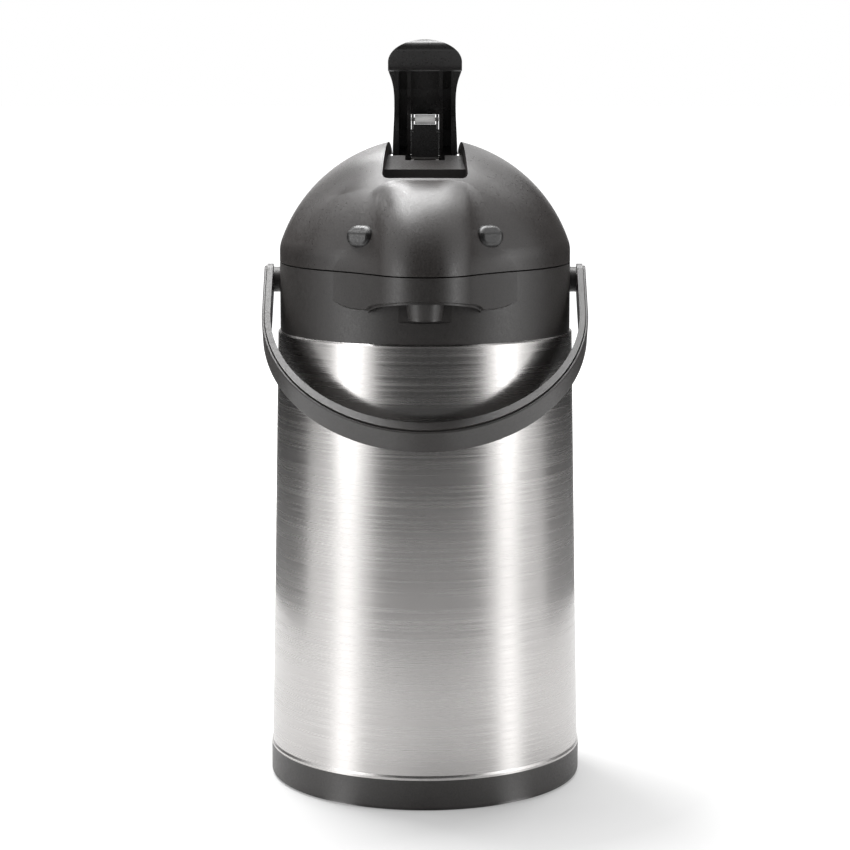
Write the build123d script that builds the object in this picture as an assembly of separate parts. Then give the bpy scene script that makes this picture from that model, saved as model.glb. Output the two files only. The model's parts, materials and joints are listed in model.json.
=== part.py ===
from build123d import *
from math import asin, atan2, cos, degrees, radians, sin, sqrt
import os

# A vacuum airpot of about two litres, worked by a lever on its lid.
# Millimetres, +Z up, the floor is z = 0, the body's axis is x = y = 0, and the spout points along -Y.

# Base ring, steel shell and collar
base_radius = 85.0
base_height = 16.5
base_wall = 3.0
base_foot_round = 2.2
spigot_height = 5.0
spigot_wall = 2.0
shell_bottom_radius = 84.4
shell_top_radius = 79.6
shell_height = 229.0
shell_wall = 1.0
shell_bead = 0.5
shell_bead_height = 1.2
shell_flange = 6.0
shell_top_bevel = 0.8
collar_step = 1.2
collar_height = 37.0
collar_wall = 2.5
collar_floor_thick = 2.5
seam_gap = 0.7

# Lid shell: a ball's cap that turns upright near the seam
dome_height = 66.1
dome_swell = 3.7
dome_wall = 2.5
dome_shoulder_radius = 18.0

# Beak over the spout and the ridge above it
beak_stand_out = 22.1
beak_nose_radius = 28.0
beak_blend_radius = 40.0
beak_depth = 19.3
beak_wall = 2.5
mouth_lip = 1.2
mouth_half_width = 30.0
mouth_rise = 6.8
ridge_rim_gap = 0.5
ridge_top_radius = 25.0
ridge_bulge = 10.0
ridge_blend_radius = 12.0
ridge_sections = 9
ridge_last_share = 0.96

# Vacuum bottle
bottle_side_gap = 4.6
bottle_wall = 1.0
vacuum_gap = 6.0
bottle_foot_round = 5.0
bottle_shoulder_round = 16.0
bottle_shoulder_drop = 19.5
neck_bore_radius = 32.5
neck_rise = 16.5
neck_length = 12.0
neck_gap = 1.0
neck_lip_thick = 1.5
neck_skirt_drop = 5.0
gasket_thick = 2.5
gasket_overhang = 4.0
tube_head_lap = 4.0
tube_head_height = 13.0
tube_head_plug = 8.0
plug_gap = 0.5
air_hole_radius = 2.5
air_hole_circle = 20.0
riser_radius = 4.5
riser_wall = 1.0
riser_floor_gap = 6.0
riser_notch = 3.0
pipe_radius = 4.8
pipe_wall = 1.2
pipe_bite = 8.0

# Spout nozzle
nozzle_top_radius = 10.0
nozzle_tip_radius = 8.6
nozzle_stand_out = 8.8
nozzle_hang = 3.8
nozzle_bore_radius = 4.5
nozzle_rim_height = 1.0
nozzle_rim_wall = 1.8
nozzle_cone_height = 10.5
nozzle_cup_depth = 2.5

# Rear hinge of the lid
hinge_pin_radius = 1.75
hinge_knuckle_radius = 4.5
hinge_wall_gap = 0.5
hinge_half_length = 25.0
lid_knuckle_half_length = 13.5
hinge_side_gap = 0.5

# Lever, its channel in the lid, and the pump it works
lever_pivot_y = 22.0
lever_pivot_depth = 11.6
lever_lean = 28.0
lever_axle_radius = 1.6
lever_hub_radius = 6.0
lever_wall = 2.5
lever_half_width = 16.7
lever_foot_half_width = 17.6
lever_head_half_width = 19.6
lever_head_arch = 12.0
lever_head_drop = 1.3
lever_window_top = 20.8
lever_window_gap = 0.4
lever_head_gap = 0.9
lever_head_depth = 23.5
lever_slot_radius = 1.7
lever_slot_off = -1.2
lever_slot_span = (12.5, 24.2)
lever_rib_wall = 2.0
pocket_rim_depth = 19.0
channel_front_half_width = 22.5
channel_rear_half_width = 15.4
channel_bow = 4.5
channel_corner = 5.0
tray_wall = 2.0
tray_floor = 2.5
pocket_side_gap = 0.9
pocket_floor_depth = 36.6
deck_front_depth = 15.6
deck_middle_reach = 16.0
deck_middle_depth = 12.4
deck_crest_depth = 9.6
well_front_y = 0.5
well_floor_depth = 22.6
post_slot_half_width = 10.6
post_slot_reach = 11.5
post_y = 10.0
post_half_width = 6.0
post_half_depth = 2.75
post_fit = 0.4
barrel_radius = 2.5
barrel_end_gap = 0.5
barrel_rise = 21.0
barrel_gap = 0.2
barrel_pin_radius = 1.0
post_shoulder_drop = 5.2
post_skin = 0.75
yoke_thick = 1.2
yoke_radius = 2.6
yoke_bar_height = 1.1
yoke_bar_depth = 0.95
yoke_bar_rise = -0.4
rivet_hole_radius = 0.4
rivet_hole_inset = 0.6
rivet_hole_drop = 1.3
pin_head = 0.2
plunger_gap = 3.4
plunger_thick = 3.0
plunger_top_clear = 2.5
housing_radius = 33.0
housing_wall = 2.0
housing_flange = 5.0
bellows_folds = 6
bellows_wall = 0.96
bellows_inset = 0.4
bellows_inner_radius = 21.0
spring_radius = 14.0
spring_wire = 2.0
spring_lift = 1.5
valve_radius = 8.0
valve_lap = 3.0
valve_stem_radius = 2.5
valve_thick = 1.0
valve_height = 5.0
stopper_bore_gap = 0.5
stopper_inset = 1.0
gasket_width = 8.0
stopper_gasket_thick = 2.0

# Lid release buttons
button_offset = 32.5
button_rise = 18.0
button_width = 14.7
button_height = 11.2
button_corner = 5.4
button_stand_out = 5.0
button_travel = 3.5
button_gap = 0.4
button_flange_depth = 8.6
button_flange_thick = 2.0
button_flange_lap = 2.5
button_edge_round = 3.2
button_bevel_angle = 38.0
button_bevel_turn = 12.0
button_bevel_shift = 1.5
latch_half_width = 3.5
latch_thick = 2.0
latch_drop = 12.2
latch_bite = 2.9
latch_hook_height = 3.0
catch_half_width = 4.0
catch_height = 2.0
latch_catch_gap = 0.8

# Bail handle
handle_pivot_rise = 26.7
handle_side_gap = 3.4
handle_arm_thick = 4.6
handle_grip_thick = 6.6
handle_strap_width = 17.0
handle_reach = 119.0
handle_tilt = 50.6
handle_pin_radius = 4.0
handle_pin_bite = 3.2
handle_boss_radius = 6.75
cover_thick = 1.6
cover_inset = 1.0
cover_edge_round = 0.6

# Screws and underside
screw_radius = 1.5
screw_head_radius = 3.0
screw_head_height = 1.8
base_screw_inset = 11.0
lid_screw_inset = 18.4
lid_screw_length = 12.0
plate_low_z = 2.5
plate_high_z = 5.0
shelf_width = 12.0
shelf_thick = 2.5
cushion_height = 19.0
cushion_radius = 30.0
cushion_bore = 18.0
cushion_top_thick = 5.0
cushion_rim_wall = 2.5
cushion_rim_height = 4.0

# Fits between pieces
pin_fit = 0.05
press_gap = 0.01
seat_gap = 0.3
nozzle_seat_gap = 0.2

# Levels and places that follow from the sizes above
shell_top_z = base_height + shell_height
collar_radius = shell_top_radius - collar_step
dome_ball_radius = collar_radius + dome_swell
beak_reach = collar_radius + beak_stand_out
bottle_radius = shell_top_radius - shell_wall - bottle_side_gap
bottle_floor_z = plate_high_z + cushion_height
bottle_shoulder_z = shell_top_z - bottle_shoulder_drop
neck_top_z = shell_top_z + neck_rise
tube_head_radius = neck_bore_radius + tube_head_lap
collar_top_z = shell_top_z + collar_height - seam_gap
dome_bottom_z = collar_top_z + seam_gap
dome_top_z = dome_bottom_z + dome_height
dome_centre_z = dome_top_z - dome_ball_radius
collar_floor_z = neck_top_z + gasket_thick
tube_head_top_z = collar_floor_z + tube_head_height
pipe_z = collar_floor_z + collar_floor_thick + pipe_radius + seat_gap
beak_low_z = dome_bottom_z - beak_depth
nozzle_reach = collar_radius + nozzle_stand_out
nozzle_tip_z = beak_low_z - nozzle_hang
channel_front_reach = sqrt((2 * dome_ball_radius - pocket_rim_depth) * pocket_rim_depth)
ridge_top_reach = channel_front_reach + ridge_rim_gap
lever_length = lever_pivot_y + channel_front_reach - lever_head_gap
lever_window_half_width = post_half_width + yoke_thick + lever_window_gap
barrel_half_length = post_half_width - barrel_end_gap
lever_pivot_z = dome_top_z - lever_pivot_depth
pocket_floor_z = dome_top_z - pocket_floor_depth
deck_front_z = dome_top_z - deck_front_depth
deck_middle_z = dome_top_z - deck_middle_depth
deck_crest_z = dome_top_z - deck_crest_depth
well_floor_z = dome_top_z - well_floor_depth
barrel_z = lever_pivot_z + barrel_rise
yoke_foot_z = lever_pivot_z + yoke_bar_rise
button_z = dome_bottom_z + button_rise
latch_foot_z = collar_top_z - latch_drop
latch_reach = collar_radius - collar_wall - latch_bite
handle_pivot_z = shell_top_z + handle_pivot_rise
handle_half_width = collar_radius + seat_gap + handle_side_gap + handle_arm_thick
base_screw_circle = base_radius - base_screw_inset
lid_screw_circle = collar_radius - lid_screw_inset
shelf_radius = base_radius - base_wall - shelf_width
hinge_y = collar_radius + hinge_knuckle_radius + hinge_wall_gap
hinge_z = collar_top_z - 1.0
lid_base_thick = 2.5
lid_base_top_z = dome_bottom_z + lid_base_thick
tray_bottom_z = well_floor_z - tray_floor
plunger_z = tray_bottom_z - plunger_top_clear - plunger_thick
shelf_top_z = plate_high_z + shelf_thick
neck_outer_radius = neck_bore_radius + 2 * bottle_wall + neck_gap
bottle_neck_z = neck_top_z - neck_length
inner_floor_radius = bottle_radius - 2 * bottle_wall - vacuum_gap - bottle_foot_round
inner_floor_z = bottle_floor_z + bottle_wall + vacuum_gap
inner_foot_weld_z = inner_floor_z + bottle_foot_round
inner_neck_weld_z = bottle_shoulder_z - vacuum_gap - bottle_shoulder_round
collar_hole_radius = tube_head_radius + seat_gap
nozzle_top_z = pipe_z + pipe_radius + nozzle_rim_height
ridge_top_z = dome_centre_z + sqrt(dome_ball_radius ** 2 - ridge_top_reach ** 2)
clear_z = dome_top_z + 5.0
housing_top_z = pocket_floor_z - tray_floor - 5 * seat_gap
plunger_radius = housing_radius - housing_wall - plunger_gap
pocket_reach = plunger_radius + pocket_side_gap + tray_floor
stopper_radius = housing_radius - stopper_inset
stopper_bottom_z = tube_head_top_z + seat_gap + stopper_gasket_thick
button_reach = sqrt(dome_ball_radius ** 2 - (button_z - dome_centre_z) ** 2)
button_angle = degrees(asin(button_offset / button_reach))
latch_arm_reach = button_reach - button_flange_depth - button_flange_thick
boss_face_x = handle_half_width - handle_arm_thick - seat_gap
handle_pin_root_x = collar_radius - shell_flange
handle_arc_z = handle_half_width - handle_reach


def turned(*outline):
    """A full turn about the upright axis of an outline of (radius, height) points."""
    return revolve(Plane.XZ * make_face(Polyline(*outline, close=True)), Axis.Z)


def side_plate(outline, half_width):
    """A plate whose outline is given as (y, z) points, the same to each side of x = 0."""
    return extrude(Plane.YZ * make_face(Polyline(*outline, close=True)), half_width, both=True)


def disc(radius, low_z, high_z):
    return Pos(0, 0, low_z) * Cylinder(radius, high_z - low_z, align=(Align.CENTER, Align.CENTER, Align.MIN))


def ring(outer_radius, inner_radius, low_z, high_z):
    return disc(outer_radius, low_z, high_z) - disc(inner_radius, low_z, high_z)


def block(x_span, y_span, z_span):
    size = [span[1] - span[0] for span in (x_span, y_span, z_span)]
    corner = (x_span[0], y_span[0], z_span[0])
    return Pos(*corner) * Box(*size, align=(Align.MIN, Align.MIN, Align.MIN))


def rod_x(radius, x_span, y, z):
    """A round bar along X."""
    bar = Cylinder(radius, x_span[1] - x_span[0], align=(Align.CENTER, Align.CENTER, Align.MIN))
    return Pos(x_span[0], y, z) * Rot(0, 90, 0) * bar


def rod_y(radius, y_span, x, z):
    """A round bar along Y."""
    bar = Cylinder(radius, y_span[1] - y_span[0], align=(Align.CENTER, Align.CENTER, Align.MIN))
    return Pos(x, y_span[0], z) * Rot(-90, 0, 0) * bar


def around(radius, count, first_angle):
    """Places spaced evenly on a circle about the body's axis."""
    angles = [radians(first_angle + 360 / count * step) for step in range(count)]
    return [(radius * cos(angle), radius * sin(angle)) for angle in angles]


def on_side(side, body):
    """A body drawn at +X, or its mirror image for side -1."""
    return body if side > 0 else mirror(body, Plane.YZ)


def shell_radius(z):
    """The steel shell's outer radius at a height."""
    return shell_bottom_radius + (shell_top_radius - shell_bottom_radius) * (z - base_height) / shell_height


# Base and shell
base_screw_places = around(base_screw_circle, 3, 90)
lid_screw_places = [(lid_screw_circle * sin(radians(angle)), -lid_screw_circle * cos(radians(angle)))
                    for angle in (75, -75, 140, -140)]


def make_base_ring():
    wall_radius = base_radius - base_wall
    spigot_radius = shell_radius(base_height + spigot_height) - shell_wall - seat_gap
    outline = make_face(Polyline(
        (shelf_radius, plate_high_z), (wall_radius, plate_high_z), (wall_radius, 0), (base_radius, 0),
        (base_radius, base_height), (spigot_radius, base_height), (spigot_radius, base_height + spigot_height),
        (spigot_radius - spigot_wall, base_height + spigot_height), (spigot_radius - spigot_wall, shelf_top_z),
        (shelf_radius, shelf_top_z), close=True))
    outer_foot = outline.vertices().sort_by(Axis.Y)[0:2].sort_by(Axis.X)[-1]
    outline = fillet(outer_foot, base_foot_round)
    body = revolve(Plane.XZ * outline, Axis.Z)
    for x, y in base_screw_places:
        body -= Pos(x, y, 0) * disc(screw_radius + press_gap, plate_high_z, shelf_top_z)
    return body


def make_base_plate():
    body = disc(base_radius - base_wall - seat_gap, plate_low_z, plate_high_z)
    rim_radius = cushion_radius + seat_gap
    body += ring(rim_radius + cushion_rim_wall, rim_radius, plate_high_z, plate_high_z + cushion_rim_height)
    for x, y in base_screw_places:
        body -= Pos(x, y, 0) * disc(screw_radius + press_gap, plate_low_z, plate_high_z)
    return body


def screws_at(places, head_z, tip_z):
    """Screws with their heads hanging below head_z."""
    screw = disc(screw_head_radius, head_z - screw_head_height, head_z) + disc(screw_radius, head_z, tip_z)
    return Compound([Pos(x, y, 0) * screw for x, y in places])


def make_base_screws():
    return screws_at(base_screw_places, plate_low_z, shelf_top_z)


def make_bottle_cushion():
    pad = disc(cushion_radius, plate_high_z, bottle_floor_z)
    return pad - disc(cushion_bore, plate_high_z, bottle_floor_z - cushion_top_thick)


def make_outer_shell():
    inner_bottom = shell_bottom_radius - shell_wall
    inner_top = shell_top_radius - shell_wall
    bead_radius = shell_bottom_radius + shell_bead
    bead_z = base_height + shell_bead_height
    return turned(
        (inner_bottom, base_height), (bead_radius, base_height), (bead_radius, bead_z),
        (shell_radius(bead_z + shell_bead_height), bead_z + shell_bead_height),
        (shell_top_radius, shell_top_z - shell_top_bevel), (shell_top_radius - shell_top_bevel, shell_top_z),
        (collar_radius - shell_flange, shell_top_z), (collar_radius - shell_flange, shell_top_z - shell_wall),
        (inner_top, shell_top_z - shell_wall))


def bottle_form(radius, neck_radius, floor_z, shoulder_z, neck_z):
    """The bottle as a solid: round foot, straight side, domed shoulder and neck."""
    outline = make_face(Polyline(
        (0, floor_z), (radius, floor_z), (radius, shoulder_z), (neck_radius, neck_z),
        (neck_radius, neck_top_z), (0, neck_top_z), close=True))
    foot = outline.vertices().filter_by(lambda v: v.X > radius - 1 and v.Y < floor_z + 1)
    outline = fillet(foot, bottle_foot_round)
    shoulder = outline.vertices().filter_by(lambda v: v.X > radius - 1 and v.Y > shoulder_z - 1)
    outline = fillet(shoulder, bottle_shoulder_round)
    return revolve(Plane.XZ * outline, Axis.Z)


def make_bottle_outer():
    outer = bottle_form(bottle_radius, neck_outer_radius, bottle_floor_z, bottle_shoulder_z, bottle_neck_z)
    cavity = bottle_form(
        bottle_radius - bottle_wall, neck_outer_radius - bottle_wall, bottle_floor_z + bottle_wall,
        bottle_shoulder_z - bottle_wall, bottle_neck_z - bottle_wall)
    return outer - cavity


def inner_bottle_form(skin):
    """The inner bottle's surface, drawn in by skin: 0 gives its outside and the wall its inside."""
    gap = bottle_wall + vacuum_gap + skin
    return bottle_form(
        bottle_radius - gap, neck_bore_radius + bottle_wall - skin, bottle_floor_z + gap,
        bottle_shoulder_z - vacuum_gap - skin, bottle_neck_z - neck_skirt_drop - skin)


def inner_bottle_length(low_z, high_z):
    """A length of the inner bottle, which is pressed in four pieces and then welded."""
    whole = inner_bottle_form(0) - inner_bottle_form(bottle_wall)
    return whole & disc(bottle_radius, low_z, high_z)


def make_bottle_inner_floor():
    return disc(inner_floor_radius, inner_floor_z, inner_floor_z + bottle_wall)


def make_bottle_inner_foot():
    """The rounded foot between the inner bottle's flat floor and its side."""
    foot = inner_bottle_length(bottle_floor_z, inner_foot_weld_z)
    return foot - disc(inner_floor_radius, bottle_floor_z, inner_foot_weld_z)


def make_bottle_inner_neck():
    lip = ring(neck_outer_radius - bottle_wall, neck_bore_radius, neck_top_z - neck_lip_thick, neck_top_z)
    return inner_bottle_length(inner_neck_weld_z, neck_top_z) + lip


def make_neck_gasket():
    return ring(neck_outer_radius + gasket_overhang, neck_bore_radius, neck_top_z, collar_floor_z)


# Collar with the beak's lower half
def beak_plan(inset):
    """The beak's round nose seen from above, drawn in by inset."""
    return Pos(0, beak_nose_radius - beak_reach) * Circle(beak_nose_radius - inset)


def nose_blend(round_radius, reach, nose_radius, blend_radius):
    """Three points on the hollow curve between a circle about the axis and a round nose on it."""
    nose = Vector(0, nose_radius - reach)
    to_blend = round_radius + blend_radius
    nose_to_blend = nose_radius + blend_radius
    cosine = (to_blend ** 2 + nose.length ** 2 - nose_to_blend ** 2) / (2 * to_blend * nose.length)
    centre = Vector(to_blend * sqrt(1 - cosine ** 2), -to_blend * cosine)
    on_round = centre.normalized() * round_radius
    on_nose = nose + (centre - nose).normalized() * nose_radius
    middle = centre + ((on_round + on_nose) / 2 - centre).normalized() * blend_radius
    return on_round, middle, on_nose


def left(point):
    return Vector(-point.X, point.Y)


def collar_plan():
    """The collar's circle with the beak blended into it by a hollow curve on each side."""
    on_collar, middle, on_nose = nose_blend(collar_radius, beak_reach, beak_nose_radius, beak_blend_radius)
    return make_face([
        ThreePointArc(on_nose, (0, -beak_reach), left(on_nose)),
        ThreePointArc(left(on_nose), left(middle), left(on_collar)),
        ThreePointArc(left(on_collar), (0, collar_radius), on_collar),
        ThreePointArc(on_collar, middle, on_nose)])


def make_collar():
    body = disc(collar_radius, shell_top_z, beak_low_z)
    body += extrude(Pos(0, 0, beak_low_z) * collar_plan(), collar_top_z - beak_low_z)
    hollow = Pos(0, 0, beak_low_z) * beak_plan(beak_wall)
    hollow = extrude(hollow, collar_top_z - beak_wall - beak_low_z)
    body -= hollow - disc(collar_radius, beak_low_z, collar_top_z)
    mouth = Plane.XZ.offset(collar_radius - mouth_lip) * Pos(0, beak_low_z) * Ellipse(mouth_half_width, mouth_rise)
    body -= extrude(mouth, beak_reach)
    bowl_radius = collar_radius - collar_wall
    body -= disc(bowl_radius, collar_floor_z + collar_floor_thick, collar_top_z)
    body -= disc(bowl_radius, shell_top_z + collar_floor_thick, collar_floor_z)
    body -= disc(collar_hole_radius, shell_top_z, collar_top_z)
    body -= disc(collar_radius - shell_flange - seat_gap, shell_top_z, shell_top_z + collar_floor_thick)
    for side in (-1, 1):
        bar = rod_x(handle_boss_radius, (collar_radius - collar_wall, boss_face_x), 0, handle_pivot_z)
        bore = rod_x(handle_pin_radius + press_gap, (handle_pin_root_x, boss_face_x), 0, handle_pivot_z)
        body += on_side(side, bar)
        body -= on_side(side, bore)
    nozzle_seat = disc(nozzle_top_radius + nozzle_seat_gap, beak_low_z, nozzle_top_z + nozzle_seat_gap)
    body -= Pos(0, -nozzle_reach, 0) * nozzle_seat
    body -= rod_y(pipe_radius + press_gap, (-nozzle_reach, -collar_hole_radius), 0, pipe_z)
    return body + make_collar_knuckles() + make_latch_catches()


def make_collar_knuckles():
    inner_x = lid_knuckle_half_length + hinge_side_gap
    knuckles = rod_x(hinge_knuckle_radius, (inner_x, hinge_half_length), hinge_y, hinge_z)
    low = hinge_z - hinge_knuckle_radius
    web_start = sqrt((collar_radius - collar_wall / 2) ** 2 - hinge_half_length ** 2)
    knuckles += block((inner_x, hinge_half_length), (web_start, hinge_y), (low, hinge_z))
    knuckles -= rod_x(hinge_pin_radius + press_gap, (inner_x, hinge_half_length), hinge_y, hinge_z)
    return knuckles + mirror(knuckles, Plane.YZ)


def make_latch_catches():
    """A ledge inside the collar's wall above each latch hook."""
    low = latch_foot_z + latch_hook_height + button_gap
    span = (-(collar_radius - collar_wall / 2), -(latch_reach + latch_catch_gap))
    ledge = block((-catch_half_width, catch_half_width), span, (low, low + catch_height))
    return Part() + [Rot(0, 0, side * button_angle) * ledge for side in (-1, 1)]


def make_nozzle():
    outline = Plane.XZ * make_face(Polyline(
        (0, nozzle_tip_z), (nozzle_tip_radius, nozzle_tip_z),
        (nozzle_tip_radius, nozzle_tip_z + nozzle_rim_height),
        (nozzle_top_radius, nozzle_tip_z + nozzle_cone_height), (nozzle_top_radius, nozzle_top_z),
        (0, nozzle_top_z), close=True))
    body = revolve(outline, Axis.Z) - disc(nozzle_bore_radius, nozzle_tip_z, pipe_z)
    body -= disc(nozzle_tip_radius - nozzle_rim_wall, nozzle_tip_z, nozzle_tip_z + nozzle_cup_depth)
    body -= rod_y(pipe_radius + press_gap, (0, nozzle_top_radius), 0, pipe_z)
    return Pos(0, -nozzle_reach, 0) * body


def make_discharge_pipe():
    span = (-nozzle_reach, -tube_head_radius + pipe_bite)
    pipe = rod_y(pipe_radius, span, 0, pipe_z)
    return pipe - rod_y(pipe_radius - pipe_wall, span, 0, pipe_z)


def make_tube_head():
    body = disc(tube_head_radius, collar_floor_z, tube_head_top_z)
    plug_low_z = collar_floor_z - tube_head_plug
    body += disc(neck_bore_radius - plug_gap, plug_low_z, collar_floor_z)
    body -= disc(riser_radius + press_gap, plug_low_z, pipe_z)
    body -= rod_y(pipe_radius + press_gap, (-tube_head_radius - 1, -tube_head_radius + pipe_bite), 0, pipe_z)
    body -= rod_y(pipe_radius - pipe_wall, (-tube_head_radius, 0), 0, pipe_z)
    for x, y in around(air_hole_circle, 4, 45):
        body -= Pos(x, y, 0) * disc(air_hole_radius, plug_low_z, tube_head_top_z)
    return body


def make_riser_tube():
    foot_z = bottle_floor_z + 2 * bottle_wall + vacuum_gap + riser_floor_gap
    tube = ring(riser_radius, riser_radius - riser_wall, foot_z, pipe_z - pipe_radius)
    for turn in (0, 90):
        half = riser_notch / 2
        notch = block((-riser_radius, riser_radius), (-half, half), (foot_z, foot_z + riser_notch))
        tube -= Rot(0, 0, turn) * notch
    return tube


def make_hinge_pin():
    return rod_x(hinge_pin_radius, (-hinge_half_length, hinge_half_length), hinge_y, hinge_z)


def make_handle_pin(side):
    span = (handle_pin_root_x, boss_face_x + handle_pin_bite)
    return on_side(side, rod_x(handle_pin_radius, span, 0, handle_pivot_z))


# Lid shell
def dome_form(skin):
    """The lid's round form drawn in by skin, from the seam to its crown."""
    radius = collar_radius - skin
    ball_radius = dome_ball_radius - skin
    edge_z = dome_centre_z + sqrt(ball_radius ** 2 - radius ** 2)
    halfway = atan2(radius, edge_z - dome_centre_z) / 2
    middle = (ball_radius * sin(halfway), dome_centre_z + ball_radius * cos(halfway))
    crown = (0, dome_centre_z + ball_radius)
    outline = make_face([
        Line((0, dome_bottom_z), (radius, dome_bottom_z)), Line((radius, dome_bottom_z), (radius, edge_z)),
        ThreePointArc((radius, edge_z), middle, crown), Line(crown, (0, dome_bottom_z))])
    shoulder = outline.vertices().sort_by_distance((radius, edge_z))[0]
    return revolve(Plane.XZ * fillet(shoulder, dome_shoulder_radius), Axis.Z)


def ridge_place(share, skin):
    """Height, reach and nose radius of the ridge at a share of its bulging front line, drawn in by skin."""
    rise = ridge_top_z - dome_bottom_z
    run = beak_reach - ridge_top_reach
    chord = sqrt(rise ** 2 + run ** 2)
    bow_radius = chord ** 2 / (8 * ridge_bulge) + ridge_bulge / 2
    depth = (bow_radius - ridge_bulge) / chord
    centre_reach = (beak_reach + ridge_top_reach) / 2 - rise * depth
    centre_z = (dome_bottom_z + ridge_top_z) / 2 - run * depth
    low = atan2(dome_bottom_z - centre_z, beak_reach - centre_reach)
    high = atan2(ridge_top_z - centre_z, ridge_top_reach - centre_reach)
    turn = low + share * (high - low)
    nose_radius = beak_nose_radius + share * (ridge_top_radius - beak_nose_radius)
    radius = bow_radius - skin
    return centre_z + radius * sin(turn), centre_reach + radius * cos(turn), nose_radius - skin


def ridge_shares():
    return [ridge_last_share * step / (ridge_sections - 1) for step in range(ridge_sections)]


def ridge_form():
    """The ridge from the recess down to the beak, blended into the lid's round by a hollow on each side."""
    sections = []
    for share in ridge_shares():
        z, reach, nose_radius = ridge_place(share, 0)
        round_radius = min(collar_radius, sqrt(dome_ball_radius ** 2 - (z - dome_centre_z) ** 2))
        blend_radius = beak_blend_radius + share * (ridge_blend_radius - beak_blend_radius)
        on_round, middle, on_nose = nose_blend(round_radius, reach, nose_radius, blend_radius)
        inner = Vector(on_round.X * 0.8, on_round.Y + dome_wall * 4)
        sections.append(Pos(0, 0, z) * make_face([
            ThreePointArc(on_nose, (0, -reach), left(on_nose)),
            ThreePointArc(left(on_nose), left(middle), left(on_round)),
            Line(left(on_round), left(inner)), Line(left(inner), inner), Line(inner, on_round),
            ThreePointArc(on_round, middle, on_nose)]))
    return loft(sections, ruled=True)


def ridge_hollow():
    """The space inside the ridge's wall."""
    sections = []
    for share in ridge_shares():
        z, reach, nose_radius = ridge_place(share, dome_wall)
        sections.append(Pos(0, nose_radius - reach, z) * Circle(nose_radius))
    return loft(sections, ruled=True)


def channel_plan(extra):
    """Plan of the lever's channel: a bowed front with round corners, and a taper out past the lid's back."""
    front = channel_front_half_width + extra
    rear = channel_rear_half_width + extra
    reach = channel_front_reach + extra
    corner_reach = reach - channel_bow
    outline = make_face([
        ThreePointArc((-front, -corner_reach), (0, -reach), (front, -corner_reach)),
        Line((front, -corner_reach), (rear, collar_radius)), Line((rear, collar_radius), (-rear, collar_radius)),
        Line((-rear, collar_radius), (-front, -corner_reach))])
    return fillet(outline.vertices().sort_by(Axis.Y)[0:2], channel_corner + extra)


def make_dome():
    body = dome_form(0) + ridge_form()
    body -= dome_form(dome_wall) + ridge_hollow()
    opening = extrude(Pos(0, 0, pocket_floor_z) * channel_plan(0), dome_height)
    rear_keep = block((-collar_radius, collar_radius), (0, collar_radius), (pocket_floor_z, well_floor_z))
    body -= opening - rear_keep
    web = block((-lid_knuckle_half_length, lid_knuckle_half_length), (collar_radius - dome_wall / 2, hinge_y),
                (dome_bottom_z, hinge_z + hinge_knuckle_radius))
    knuckle = rod_x(hinge_knuckle_radius, (-lid_knuckle_half_length, lid_knuckle_half_length), hinge_y, hinge_z)
    body += web + knuckle
    body -= rod_x(hinge_pin_radius + pin_fit, (-hinge_half_length, hinge_half_length), hinge_y, hinge_z)
    for side in (-1, 1):
        body -= button_hole(side)
    return body


# Lever channel
def make_lever_tray():
    below = [(-channel_front_reach - tray_wall, pocket_floor_z - tray_floor),
             (-pocket_reach + tray_floor, pocket_floor_z - tray_floor),
             (-pocket_reach + tray_floor, deck_front_z - tray_floor),
             (-deck_middle_reach, deck_middle_z - tray_floor), (well_front_y - tray_floor, deck_crest_z - tray_floor),
             (well_front_y - tray_floor, tray_bottom_z), (collar_radius, tray_bottom_z)]
    above = [(collar_radius, clear_z), (-channel_front_reach - tray_wall, clear_z)]
    body = side_plate(below + above, dome_ball_radius)
    slot_half = post_slot_half_width + tray_wall
    slot_span = (-post_slot_reach - tray_wall, well_front_y)
    body += block((-slot_half, slot_half), slot_span, (tray_bottom_z, deck_crest_z - tray_floor))
    body &= extrude(Pos(0, 0, pocket_floor_z - tray_floor) * channel_plan(tray_wall), dome_height)
    floor_line = [(-channel_front_reach, clear_z + 1), (-channel_front_reach, pocket_floor_z),
                  (-pocket_reach, pocket_floor_z), (-pocket_reach, deck_front_z), (-deck_middle_reach, deck_middle_z),
                  (well_front_y, deck_crest_z), (well_front_y, well_floor_z),
                  (collar_radius, well_floor_z), (collar_radius, clear_z + 1)]
    hollow = side_plate(floor_line, dome_ball_radius)
    hollow &= extrude(Pos(0, 0, pocket_floor_z) * channel_plan(0), dome_height)
    body -= hollow
    body -= block((-post_slot_half_width, post_slot_half_width), (-post_slot_reach, well_front_y),
                  (well_floor_z, dome_top_z))
    post_hole_half = post_half_width + yoke_thick + post_fit
    post_front = post_y - post_half_depth - yoke_bar_depth
    body -= block((-post_hole_half, post_hole_half), (post_front - post_fit, post_y + post_half_depth + post_fit),
                  (tray_bottom_z, well_floor_z))
    body &= Pos(0, 0, dome_centre_z) * Sphere(dome_ball_radius - dome_wall - press_gap)
    axle_x = channel_front_half_width + tray_wall
    return body - rod_x(lever_axle_radius + press_gap, (-axle_x, axle_x), lever_pivot_y, lever_pivot_z)


def channel_half_width(y):
    """Half the channel's inner width at a place along it."""
    share = (y + channel_front_reach) / (collar_radius + channel_front_reach)
    return channel_front_half_width + (channel_rear_half_width - channel_front_half_width) * share


def make_lever_axle():
    half = channel_half_width(lever_pivot_y) + tray_wall - pin_head
    return rod_x(lever_axle_radius, (-half, half), lever_pivot_y, lever_pivot_z)


# Lever
def lever_plane():
    """The lever's own plane: x along the raised lever from its pivot, y behind the pivot line."""
    lean = radians(lever_lean)
    return Plane(origin=(0, lever_pivot_y, lever_pivot_z), x_dir=(0, -sin(lean), cos(lean)), z_dir=(-1, 0, 0))


def lever_plate(outline, half_width):
    return extrude(lever_plane() * outline, half_width, both=True)


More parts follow.
